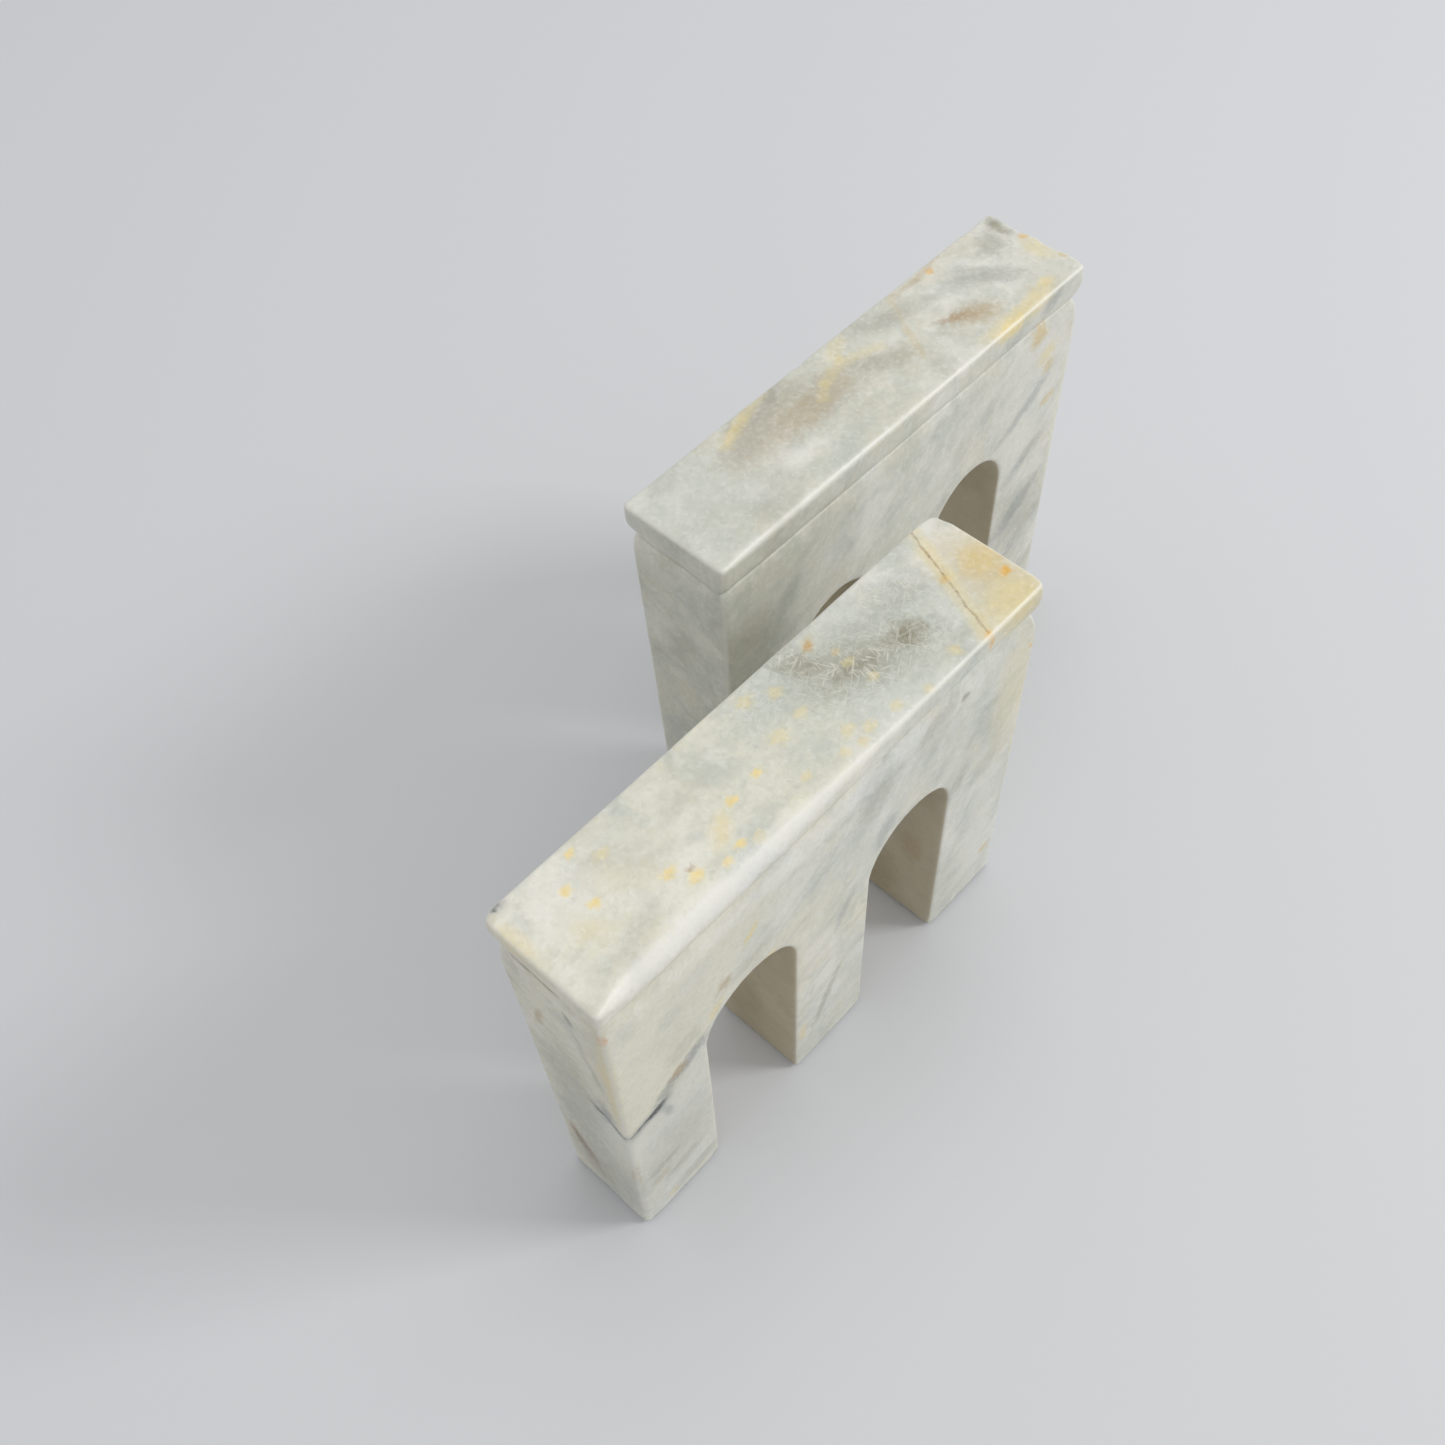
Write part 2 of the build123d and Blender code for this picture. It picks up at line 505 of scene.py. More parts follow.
def fleck(tint, middle, size, strength):
    """A small spot with a ragged edge."""
    return stain(tint, middle, (1.25 * size, size, size), strength, ragged=1.9, grain=1.8)


# ---- the stone of each end ----
def marble(end, groups):
    """Polished marble with this end's own clouds, streaks, stains and hairlines."""
    material = bpy.data.materials.new(f"{end.name} marble")
    material.use_nodes = True
    wiring = Wiring(material.node_tree)
    shader = material.node_tree.nodes["Principled BSDF"]
    spot = wiring.node("ShaderNodeTexCoord").outputs["Object"]
    local = wiring.place(spot, move=[-c for c in end.corner], scale=(1 / MM,) * 3)
    drift = wiring.stir(wiring.stir(local, 34.0, 16.0), 7.0, 2.4)

    tint = stone_clouds(wiring, end, local, drift)
    tint = stone_streaks(wiring, end, drift, tint)
    if end.seam:
        tint = stone_seam(wiring, local, tint)
    tint, needles = stone_marks(wiring, end, groups, local, tint)
    tint = stone_grain(wiring, local, needles, tint)

    wiring.feed(shader.inputs["Base Color"], tint)
    wiring.feed(shader.inputs["Roughness"], stone_roughness(wiring, local))
    wiring.feed(shader.inputs["Normal"], stone_bump(wiring, local))
    shader.inputs["Subsurface Weight"].default_value = 0.22
    shader.inputs["Subsurface Scale"].default_value = 0.004
    shader.inputs["Subsurface Radius"].default_value = (1.0, 0.85, 0.65)
    shader.inputs["IOR"].default_value = 1.5
    shader.inputs["Specular IOR Level"].default_value = 0.45
    return material


def stone_clouds(wiring, end, local, drift):
    """The ground colour: cream towards one end, cool grey-green towards the other."""
    axes = wiring.node("ShaderNodeSeparateXYZ")
    wiring.feed(axes.inputs[0], local)
    along = wiring.sum("DIVIDE", axes.outputs["X"], end.length)
    cloud = wiring.noise(drift, 58.0, 2.0, 0.45)
    shift = wiring.sum("MULTIPLY", wiring.sum("SUBTRACT", along, 0.5), end.cool_to_right)
    cool = wiring.sum("ADD", cloud, shift)
    tint = wiring.blend(wiring.spread(cool, 0.3, 0.62), end.ground[0], end.ground[1])
    for size, move, low, high, strength, patch in (
        (30.0, (40, 9, 3), 0.46, 0.68, 0.6, MILK),
        (24.0, (-15, 70, 31), 0.48, 0.7, 0.65, GREEN_GREY),
        (21.0, (90, -20, 12), 0.52, 0.72, 0.5, SAND),
        (10.0, (5, 33, -48), 0.52, 0.74, 0.4, GREEN_GREY),
        (7.0, (-61, 13, 8), 0.52, 0.72, 0.35, MILK),
    ):
        spot = wiring.noise(wiring.place(drift, move=move), size, 2.5, 0.5)
        shown = wiring.sum("MULTIPLY", wiring.spread(spot, low, high), strength)
        tint = wiring.blend(shown, tint, patch)
    return tint


def stone_streaks(wiring, end, drift, tint):
    """Smoky streaks that lie along the stone, broad ones and faint fine ones."""
    lie = wiring.place(drift, turn=end.streak_turn)
    broad = wiring.noise(wiring.place(lie, scale=(0.3, 1.0, 1.0)), end.streak_size, 2.0, 0.5)
    smoky = wiring.sum("MULTIPLY", wiring.spread(broad, 0.48, 0.78), end.streak_strength)
    tint = wiring.blend(smoky, tint, SMOKE)
    fine = wiring.noise(wiring.place(lie, move=(7, 31, 5), scale=(0.16, 1.0, 1.0)), 5.5, 3.0, 0.55)
    return wiring.blend(wiring.sum("MULTIPLY", wiring.spread(fine, 0.56, 0.74), 0.12), tint, SMOKE)


def stone_seam(wiring, local, tint):
    """The natural seam: a dark line painted as the shade under its lip, with greyer stone under it and
    cream above.
    """
    axes = wiring.node("ShaderNodeSeparateXYZ")
    wiring.feed(axes.inputs[0], wiring.stir(local, 6.0, 2.2, 3.0))
    x, y, z = axes.outputs
    rise = wiring.sum("MULTIPLY", x, wiring.sum("ADD", SEAM_RISE, wiring.sum("MULTIPLY", x, SEAM_BEND)))
    level = wiring.sum("ADD", SEAM_HEIGHT, wiring.sum("ADD", rise, wiring.sum("MULTIPLY", y, SEAM_TILT)))
    height = wiring.sum("SUBTRACT", z, level)
    pier = wiring.sum("MULTIPLY", wiring.spread(x, 62.0, 38.0), wiring.spread(y, 44.0, 20.0))
    under = wiring.sum("MULTIPLY", wiring.spread(height, 6.0, -8.0), pier)
    tint = wiring.blend(wiring.sum("MULTIPLY", under, 0.5), tint, PEARL)
    over = wiring.sum("MULTIPLY", wiring.spread(height, -1.0, 5.0), wiring.spread(height, 75.0, 20.0))
    tint = wiring.blend(wiring.sum("MULTIPLY", wiring.sum("MULTIPLY", over, pier), 0.6), tint, CREAM)
    near = wiring.sum("MULTIPLY", wiring.spread(x, 25.0, 14.0), wiring.spread(y, 20.0, 9.0))
    gap = wiring.sum("ABSOLUTE", wiring.sum("ADD", height, 1.2))
    halo = wiring.sum("MULTIPLY", wiring.spread(gap, 7.5, 0.8), near)
    tint = wiring.blend(wiring.sum("MULTIPLY", halo, 0.6), tint, SLATE)
    patchy = wiring.spread(wiring.noise(local, 7.0), 0.42, 0.56, 0.3, 1.0)
    # painted shade: a dark line just under the seam's lip, where the lip overhangs the open crack
    lip_shade_line = wiring.sum("MULTIPLY", wiring.spread(gap, 2.7, 0.8), wiring.sum("MULTIPLY", near, patchy))
    return wiring.blend(wiring.sum("MULTIPLY", lip_shade_line, 0.9), tint, SOOT)


def stone_marks(wiring, end, groups, local, tint):
    """The marks that this end is known by, laid on one after another."""
    loose = wiring.stir(local, 8.0, 5.0, 3.0)
    jogged = wiring.stir(local, 5.0, 2.2, 3.0)
    needles = None
    for mark in end.marks:
        if mark.kind == "stain":
            layer = wiring.node("ShaderNodeGroup", node_tree=groups["stain"])
            wiring.feed(layer.inputs["Place"], loose if max(mark.reach) > 6.0 else jogged)
            layer.inputs["Middle"].default_value = mark.middle
            layer.inputs["Turn"].default_value = [math.radians(t) for t in mark.turn]
            layer.inputs["Reach"].default_value = mark.reach
            layer.inputs["Ragged"].default_value = mark.ragged
            layer.inputs["Grain"].default_value = (mark.grain,) * 3
            shown = wiring.sum("MULTIPLY", layer.outputs[0], mark.strength)
            tint = wiring.blend(shown, tint, mark.tint)
            if mark.needles:
                share = wiring.sum("MULTIPLY", layer.outputs[0], mark.needles)
                needles = share if needles is None else wiring.sum("MAXIMUM", needles, share)
            continue
        for start, finish in zip(mark.points, mark.points[1:]):
            layer = wiring.node("ShaderNodeGroup", node_tree=groups["hairline"])
            wiring.feed(layer.inputs["Place"], jogged)
            layer.inputs["Start"].default_value = start
            layer.inputs["End"].default_value = finish
            layer.inputs["Width"].default_value = mark.width
            layer.inputs["Ragged"].default_value = mark.ragged
            tint = wiring.blend(wiring.sum("MULTIPLY", layer.outputs[0], mark.strength), tint, mark.tint)
    return tint, needles


def stone_grain(wiring, local, needles, tint):
    """Mottling, crystals a millimetre across, white needles where the smoky stains are, paler arrises that
    are partly wear and partly painted highlight, and a tan tint with painted shade inside the arches.
    """
    mottle = wiring.noise(local, 3.0, 4.0, 0.65)
    tint = wiring.blend(wiring.spread(mottle, 0.5, 0.75, 0.0, 0.17), tint, MILK)
    tint = wiring.blend(wiring.spread(mottle, 0.5, 0.25, 0.0, 0.15), tint, DULL_MOTTLE)
    crystal = wiring.cells(local, 1.4, "Color")
    lean = wiring.node("ShaderNodeSeparateXYZ")
    wiring.feed(lean.inputs[0], crystal)
    tint = wiring.blend(wiring.spread(lean.outputs["X"], 0.55, 1.0, 0.0, 0.1), tint, BRIGHT_CRYSTAL)
    tint = wiring.blend(wiring.spread(lean.outputs["Y"], 0.6, 1.0, 0.0, 0.08), tint, DULL_CRYSTAL)
    if needles is not None:
        shown = wiring.sum("MULTIPLY", white_needles(wiring, local), needles)
        tint = wiring.blend(shown, tint, PALE_NEEDLE)
    # the arrises are painted paler: partly wear, partly painted highlight where rounded edges catch the
    # light
    edge = wiring.node("ShaderNodeAttribute", attribute_name="arris").outputs["Fac"]
    tint = wiring.blend(wiring.sum("MULTIPLY", edge, 0.55), tint, MILK)
    # inside the arches the stone is tinted darker and warmer: partly a tan stain, partly painted shade
    inner = wiring.node("ShaderNodeAttribute", attribute_name="reveal").outputs["Fac"]
    return wiring.blend(wiring.sum("MULTIPLY", inner, 0.65), tint, REVEAL_TAN_AND_SHADE)


def white_needles(wiring, local):
    """Thin straight crystals that lie several ways across one another."""
    found = 0.0
    for way in (18, 62, 101, 150):
        turned = wiring.place(wiring.place(local, turn=(0, 0, way)), scale=(0.09, 1, 1))
        lie = wiring.noise(turned, 0.5, 0.0)
        found = wiring.sum("MAXIMUM", found, wiring.spread(lie, 0.64, 0.8))
    return found


def stone_roughness(wiring, local):
    """A soft hand polish, duller in the clouds and inside the arches."""
    dull = wiring.noise(local, 17.0, 4.0, 0.6)
    inner = wiring.node("ShaderNodeAttribute", attribute_name="reveal").outputs["Fac"]
    return wiring.sum("ADD", wiring.spread(dull, 0.3, 0.7, 0.34, 0.48), wiring.sum("MULTIPLY", inner, 0.12))


def stone_bump(wiring, local):
    """Fine pits and crystal faces that catch the light."""
    pits, waves = wiring.noise(local, 1.1, 3.0), wiring.noise(local, 9.0, 4.0)
    relief = wiring.sum("ADD", pits, wiring.sum("MULTIPLY", waves, 2.0))
    bump = wiring.node("ShaderNodeBump")
    bump.inputs["Strength"].default_value = 0.25
    bump.inputs["Distance"].default_value = 0.3 * MM
    wiring.feed(bump.inputs["Height"], relief)
    return bump.outputs["Normal"]


# ---- felt ----
def felt():
    """Dark brown pressed felt, with loose fibres."""
    material = bpy.data.materials.new("brown felt")
    material.use_nodes = True
    wiring = Wiring(material.node_tree)
    shader = material.node_tree.nodes["Principled BSDF"]
    spot = wiring.place(wiring.node("ShaderNodeTexCoord").outputs["Object"], scale=(1 / MM,) * 3)
    swirl = wiring.stir(spot, 2.0, 1.6)
    fibre = wiring.noise(wiring.place(swirl, scale=(0.3, 1.0, 1.0)), 0.35, 3.0, 0.7)
    across = wiring.noise(wiring.place(swirl, scale=(1.0, 0.3, 1.0)), 0.35, 3.0, 0.7)
    mixed = wiring.sum("MAXIMUM", fibre, across)
    patch = wiring.noise(spot, 6.0)
    tint = wiring.blend(wiring.spread(mixed, 0.4, 0.75), FELT_DARK, FELT_PALE)
    tint = wiring.blend(wiring.sum("MULTIPLY", patch, 0.3), tint, FELT_PATCH)
    wiring.feed(shader.inputs["Base Color"], tint)
    wiring.feed(shader.inputs["Roughness"], wiring.spread(mixed, 0.3, 0.8, 0.85, 0.98))
    bump = wiring.node("ShaderNodeBump")
    bump.inputs["Strength"].default_value = 0.6
    bump.inputs["Distance"].default_value = 0.2 * MM
    wiring.feed(bump.inputs["Height"], mixed)
    wiring.feed(shader.inputs["Normal"], bump.outputs["Normal"])
    shader.inputs["Sheen Weight"].default_value = 0.35
    shader.inputs["Sheen Roughness"].default_value = 0.6
    return material


def felt_pad_tree(material):
    """Three felt pads in a row: cut with round corners, soft at their rims, in their places."""
    tree = bpy.data.node_groups.new("felt pads", "GeometryNodeTree")
    tree.is_modifier = True
    wiring = Wiring(tree)
    names = ["Depth", "Thickness", "Corner", "Soft rim", "Fuzz"]
    names += [f"{pier} {what}" for pier in PIERS for what in ("width", "place")]
    for name in names:
        tree.interface.new_socket(name, in_out="INPUT", socket_type="NodeSocketFloat")
    tree.interface.new_socket("Middle", in_out="INPUT", socket_type="NodeSocketFloat")
    tree.interface.new_socket("Pads", in_out="OUTPUT", socket_type="NodeSocketGeometry")
    given = wiring.node("NodeGroupInput").outputs
    row = wiring.node("GeometryNodeJoinGeometry")
    for pier in PIERS:
        pad = felt_pad(wiring, given, given[f"{pier} width"])
        spot = wiring.node("ShaderNodeCombineXYZ")
        wiring.feed(spot.inputs["X"], given[f"{pier} place"])
        wiring.feed(spot.inputs["Y"], given["Middle"])
        put = wiring.node("GeometryNodeTransform")
        wiring.feed(put.inputs["Geometry"], pad)
        wiring.feed(put.inputs["Translation"], spot.outputs[0])
        wiring.feed(row.inputs[0], put.outputs[0])
    real = wiring.node("GeometryNodeRealizeInstances")
    wiring.feed(real.inputs[0], row.outputs[0])
    finish = wiring.node("GeometryNodeSetMaterial")
    wiring.feed(finish.inputs["Geometry"], real.outputs[0])
    finish.inputs["Material"].default_value = material
    wiring.feed(wiring.node("NodeGroupOutput").inputs["Pads"], finish.outputs[0])
    return tree


def felt_pad(wiring, given, width):
    """One pad about its own middle: a rounded outline, raised in three steps and softened."""
    outline = wiring.node("GeometryNodeCurvePrimitiveQuadrilateral")
    wiring.feed(outline.inputs["Width"], width)
    wiring.feed(outline.inputs["Height"], given["Depth"])
    corners = wiring.node("GeometryNodeFilletCurve", mode="POLY")
    wiring.feed(corners.inputs["Curve"], outline.outputs[0])
    wiring.feed(corners.inputs["Radius"], given["Corner"])
    corners.inputs["Count"].default_value = 8
    even = wiring.node("GeometryNodeResampleCurve", mode="LENGTH")
    wiring.feed(even.inputs["Curve"], corners.outputs[0])
    even.inputs["Length"].default_value = 0.8 * MM
    base = wiring.node("GeometryNodeFillCurve", mode="NGONS")
    wiring.feed(base.inputs["Curve"], even.outputs[0])
    mesh, top = base.outputs[0], None
    for share in (0.2, 0.6, 0.2):
        rise = wiring.node("GeometryNodeExtrudeMesh", mode="FACES")
        wiring.feed(rise.inputs["Mesh"], mesh)
        wiring.feed(rise.inputs["Selection"], top)
        wiring.feed(rise.inputs["Offset Scale"], wiring.sum("MULTIPLY", given["Thickness"], share))
        rise.inputs["Individual"].default_value = False
        mesh, top = rise.outputs["Mesh"], rise.outputs["Top"]
    under = wiring.node("GeometryNodeFlipFaces")
    wiring.feed(under.inputs[0], base.outputs[0])
    both = wiring.node("GeometryNodeJoinGeometry")
    wiring.feed(both.inputs[0], mesh)
    wiring.feed(both.inputs[0], under.outputs[0])
    closed = wiring.node("GeometryNodeMergeByDistance")
    wiring.feed(closed.inputs["Geometry"], both.outputs[0])
    closed.inputs["Distance"].default_value = 0.01 * MM
    return soft_rim(wiring, given, closed.outputs[0])


def soft_rim(wiring, given, pad):
    """Draws in the top and bottom rims of a pad, and frays its sides a little."""
    where = wiring.node("GeometryNodeInputPosition").outputs[0]
    axes = wiring.node("ShaderNodeSeparateXYZ")
    wiring.feed(axes.inputs[0], where)
    level = wiring.sum("SUBTRACT", wiring.sum("DIVIDE", axes.outputs["Z"], given["Thickness"]), 0.5)
    rim = wiring.sum("POWER", wiring.sum("MULTIPLY", wiring.sum("ABSOLUTE", level), 2.0), 4.0)
    fray = wiring.sum("MULTIPLY", wiring.noise(where, 1.5 * MM, 2.0), given["Fuzz"])
    inset = wiring.sum("ADD", wiring.sum("MULTIPLY", rim, given["Soft rim"]), fray)
    keep = wiring.sum("SUBTRACT", 1.0, wiring.sum("DIVIDE", inset, given["Depth"]))
    scale = wiring.node("ShaderNodeCombineXYZ")
    wiring.feed(scale.inputs["X"], keep)
    wiring.feed(scale.inputs["Y"], keep)
    scale.inputs["Z"].default_value = 1.0
    move = wiring.node("GeometryNodeSetPosition")
    wiring.feed(move.inputs["Geometry"], pad)
    wiring.feed(move.inputs["Position"], wiring.vector("MULTIPLY", where, scale.outputs[0]))
    return move.outputs[0]


def lay_pads(end, tree):
    """The felt pads under one end, as one plain mesh."""
    low, high = end.pads[0]
    sizes = {"Depth": high.y - low.y, "Thickness": high.z - low.z, "Corner": 3.0 * MM, "Soft rim": 0.7 * MM}
    sizes |= {"Fuzz": 0.35 * MM, "Middle": (low.y + high.y) / 2}
    for pier, (low, high) in zip(PIERS, end.pads):
        sizes[f"{pier} width"] = high.x - low.x
        sizes[f"{pier} place"] = (low.x + high.x) / 2
    blank = bpy.data.objects.new("blank", bpy.data.meshes.new("blank"))
    bpy.context.scene.collection.objects.link(blank)
    maker = blank.modifiers.new("pads", "NODES")
    maker.node_group = tree
    for item in tree.interface.items_tree:
        if item.in_out == "INPUT":
            maker[item.identifier] = sizes[item.name]
    bpy.context.view_layer.update()
    graph = bpy.context.evaluated_depsgraph_get()
    mesh = bpy.data.meshes.new_from_object(blank.evaluated_get(graph))
    blank.modifiers.remove(maker)
    bpy.data.objects.remove(blank)
    mesh.name = f"{end.name}_felt"
    pads = bpy.data.objects.new(f"{end.name}_felt", mesh)
    bpy.context.scene.collection.objects.link(pads)
    return pads


# ---- the two ends ----
# each mark is placed in millimetres from the end's own left front corner on the floor
FRONT_MARKS = [
    # top of the cap: the warm stone beyond the fissure
    stain(MILK, (203, 44, 194), (16, 10, 10), 0.5, ragged=0.5),
    stain(HONEY, (207, 19, 194), (23, 34, 18), 0.48, ragged=0.5),
    stain(AMBER, (209, 24, 194), (11, 11, 8), 0.45, ragged=0.7),
    stain(STRAW, (202, 4, 192), (20, 14, 16), 0.6, ragged=0.5),
    stain(HONEY, (206, 24, 194), (9, 11, 8), 0.3, ragged=0.8),
    hairline(STRAW, [(203, 50, 194.3), (195, 28, 194.3), (184, 2, 194.3)], 5.0, 0.5),
    hairline(FISSURE, [(203, 50, 194.3), (198, 37.3, 194.3), (195.2, 29, 194.3), (192, 21, 194.3),
                       (189, 14, 194.3), (184.9, 2, 194), (185.5, 0.4, 190)], 0.8, 0.6),
    fleck(ORANGE, (210.4, 13.9, 194), 2.2, 0.9),
    stain(ORANGE, (210, 14, 194), (4, 4, 4), 0.35),
    stain(ORANGE, (194, 27, 194), (3.0, 2.2, 4), 0.5),
    stain(ORANGE, (184.6, 1.5, 194), (2.6, 2.4, 4), 0.6),
    stain(ORANGE, (185.5, -0.5, 189.6), (2.0, 3, 4.5), 0.7, (0, 20, 0)),
    stain(STRAW, (172, 6, 194), (3.4, 4.5, 4), 0.7, ragged=1.6),
    # smoky stains with white needles
    stain(GREEN_GREY, (146, 26, 194), (62, 34, 14), 0.6, (0, 0, -4), 0.6, 0.3),
    stain(SMOKE, (178, 36, 194), (22, 10, 9), 0.35, (0, 0, -25), 1.0, 0.45),
    stain(SMOKE, (150, 24, 194), (42, 15, 10), 0.4, (0, 0, -22), 1.1, 0.5),
    stain(OLIVE, (146, 30, 194), (40, 17, 8), 0.26, (0, 0, -14), 0.8),
    stain(OLIVE, (167, 22, 194), (11, 8, 6), 0.66, (0, 0, -20), 1.0, 0.3),
    stain(OLIVE, (166, 22, 194), (5, 3.5, 5), 0.5, (0, 0, -20), 1.2),
    stain(SMOKE, (156, 22, 194), (13, 6, 6), 0.42, (0, 0, 10), 1.2, 0.5),
    stain(OLIVE, (145, 26, 194), (12, 6, 6), 0.45, (0, 0, -10), 1.3, 0.5),
    stain(OLIVE, (132, 40, 194), (11, 6, 6), 0.5, (0, 0, -40), 1.2, 0.5),
    stain(SMOKE, (133, 46, 194), (12, 7, 6), 0.45, (0, 0, -30), 1.2, 0.5),
    stain(GREEN_GREY, (112, 38, 194), (24, 15, 8), 0.5, ragged=0.9, needles=0.3),
    stain(GREEN_GREY, (105, 14, 194), (20, 11, 8), 0.35, ragged=0.9, needles=0.3),
    stain(GINGER, (141.3, 43.6, 194), (3.6, 2.2, 4), 0.9, (0, 0, 30)),
    stain(HONEY, (141.3, 43.6, 194), (5.6, 4, 4), 0.35, (0, 0, 30)),
    stain(HONEY, (145.6, 35, 194), (3, 2.4, 4), 0.5),
    # yellow flecks
    *[fleck(OCHRE, (x, y, 194), size, 0.66) for x, y, size in (
        (70.4, 8.6, 2.4), (63.6, 7.3, 2.4), (48.7, 18.2, 3.2), (53.6, 11.6, 3.2), (26.6, 27.3, 2.6),
        (23.4, 36.8, 2.8), (80.3, 21.4, 2.6), (93.0, 22.2, 2.4), (33.4, 45.6, 2.2))],
    *[fleck(STRAW, (x, y, 194), size, 0.5) for x, y, size in (
        (39.6, 38.3, 3.0), (76.5, 5.8, 3.4), (108, 26.2, 4.4), (110.2, 43.5, 4.2), (120.2, 38.8, 3.4),
        (119.4, 27.3, 3.2), (124.6, 11.6, 3.2), (130, 7.6, 3.2), (124, 5, 2.6), (142, 6, 3.0),
        (154.5, 2.5, 2.4), (117, 6.8, 2.8), (102.2, 10, 2.8), (145.5, 29.4, 2.8), (146.4, 19.2, 2.6))],
    fleck(RUST, (54.3, 14.7, 194), 1.8, 0.45),
    stain(STRAW, (70, 17, 194), (11, 5, 5), 0.5, (0, 0, 30)),
    stain(STRAW, (19, 22.6, 194), (9, 5, 5), 0.2, (0, 0, -20)),
    stain(SAND, (40, 27, 194), (18, 9, 6), 0.5, (0, 0, -40)),
    stain(STRAW, (2, 36, 193), (5, 16, 7), 0.4, ragged=0.6),
    fleck(SOOT, (5.4, 49.5, 193.8), 2.4, 0.9),
    stain(SLATE, (6.5, 48.5, 194), (4, 3, 4), 0.35),
    # painted highlight: the window's reflection along the rounded front arris of the cap
    stain(PAINTED_HIGHLIGHT, (58, 0.5, 191), (84, 10, 8), 0.65, ragged=0.4),
    # painted shade: cool grey at the back edge of the top, where the book stands against it
    stain(GREEN_GREY, (194, 47, 194), (14, 7, 6), 0.55),
    # front face
    stain(CREAM, (45, 0, 162), (64, 12, 30), 0.6, ragged=0.6),
    stain(STRAW, (207, 0, 140), (18, 8, 52), 0.3, ragged=0.6),
    stain(MILK, (200, 0, 46), (18, 8, 58), 0.5, ragged=0.6),
    stain(SLATE, (20, 0, 104), (9, 8, 5), 0.5, (0, -35, 0)),
    stain(GREEN_GREY, (26, 0, 152), (9, 8, 8), 0.4),
    stain(PEARL, (38, 0, 163), (14, 8, 8), 0.4),
    stain(STRAW, (64, 0, 155), (2.6, 5, 8), 0.8, (0, 35, 0)),
    stain(TAN, (51, 0, 138), (5, 6, 6), 0.6, (0, 35, 0), 1.5),
    stain(STRAW, (46, 0, 126), (4, 6, 9), 0.5, (0, 30, 0)),
    stain(OCHRE, (73.4, 0, 126), (5, 5, 2.5), 0.45),
    stain(TOFFEE, (0.8, 1, 176), (2.6, 3, 4.2), 0.85, ragged=0.6),
    # painted highlight: a pale band along the front face just under the groove
    stain(PAINTED_HIGHLIGHT, (96, 0, 174), (120, 8, 8), 0.4, ragged=0.5),
    fleck(ORANGE, (214, 0, 161.3), 2.0, 0.85),
    stain(OLIVE, (174, 0, 170.5), (3.6, 4, 2.6), 0.55),
    stain(SMOKE, (128, 0, 160), (14, 8, 20), 0.4, (0, 30, 0), 1.2),
    stain(SMOKE, (160, 0, 172), (18, 8, 6), 0.4, (0, -20, 0), 1.2),
    stain(SLATE, (113, 0, 102), (5, 8, 16), 0.35, (0, 25, 0)),
    stain(SLATE, (134, 0, 132), (7, 8, 14), 0.35, (0, 25, 0)),
    stain(SMOKE, (178, 0, 112), (6, 8, 18), 0.4, (0, 30, 0)),
    stain(HONEY, (208, 0, 25), (5, 6, 4), 0.6),
    stain(STRAW, (215, 3, 100), (3, 8, 80), 0.35),
    stain(SMOKE, (104, 0, 40), (3.5, 8, 30), 0.5, (0, 24, 0), 1.2),
    stain(STRAW, (91, 0, 29), (3, 6, 9), 0.55),
    stain(SLATE, (32, 0, 110), (15, 8, 6.5), 0.6, (0, -30, 0), 0.9),
    stain(SMOKE, (30, 0, 122), (12, 8, 9), 0.3, (0, -30, 0), 0.8),
    stain(TAN, (26.6, 1, 109), (6, 6, 5.5), 0.8, ragged=0.7),
    # along the seam at the left pier: grey stone, and dark painted shade just under the seam's lip
    stain(SLATE, (14, 1.4, 94), (10, 5, 4), 0.5, (0, -22, 0), 0.7),
    stain(SOOT, (14, 1.4, 93.4), (6, 4, 3.0), 0.85, (0, -22, 0), 0.8),
    stain(SLATE, (1.2, 8, 98.5), (5, 11, 5), 0.7, (42, 0, 0), 0.7),
    stain(SOOT, (1.2, 4.5, 93.8), (4, 6, 3.2), 0.8, (42, 0, 0), 0.8),
    stain(SOOT, (1.0, 11, 99.6), (4, 6, 2.8), 0.65, (42, 0, 0), 0.9),
    stain(SLATE, (20, 0, 86), (3, 8, 9), 0.4, (0, -20, 0)),
    stain(SMOKE, (20, 0, 50), (26, 8, 40), 0.25, ragged=0.6),
    stain(SMOKE, (13, 0, 44), (15, 8, 4.2), 0.4, (0, -4, 0), 0.8),
    stain(SMOKE, (24, 0, 29), (17, 8, 4.6), 0.35, (0, -8, 0), 0.8),
    stain(TAN, (11, 0, 34), (8, 8, 4.2), 0.35, (0, -8, 0), 0.8),
    stain(SMOKE, (28, 0, 11), (22, 8, 6), 0.4, (0, -8, 0), 0.8),
    stain(STRAW, (15, 0, 8), (4, 6, 3), 0.5),
    stain(TAN, (0, 0, 57), (3, 4, 16), 0.45),
    # left end
    stain(SAND, (0, 5, 150), (4, 8, 60), 0.6, ragged=0.5),
    stain(SMOKE, (0, 26, 95), (14, 20, 70), 0.45),
    stain(TAN, (0, 33, 148), (6, 3, 14), 0.5, (20, 0, 0)),
    stain(STRAW, (0, 2.5, 140), (5, 4, 46), 0.45, ragged=0.6),
    stain(SLATE, (0, 9, 104), (5, 6, 15), 0.5, ragged=1.0),
    stain(RUST, (0, 30, 34), (6, 6, 24), 0.75, (-20, 0, 0), 0.9),
    stain(UMBER, (0, 31, 37), (6, 4.2, 15), 0.65, (-20, 0, 0), 0.9),
    stain(SMOKE, (0, 25, 22), (6, 14, 22), 0.35),
    # painted shade: a dark line in the groove under the cap on the left end
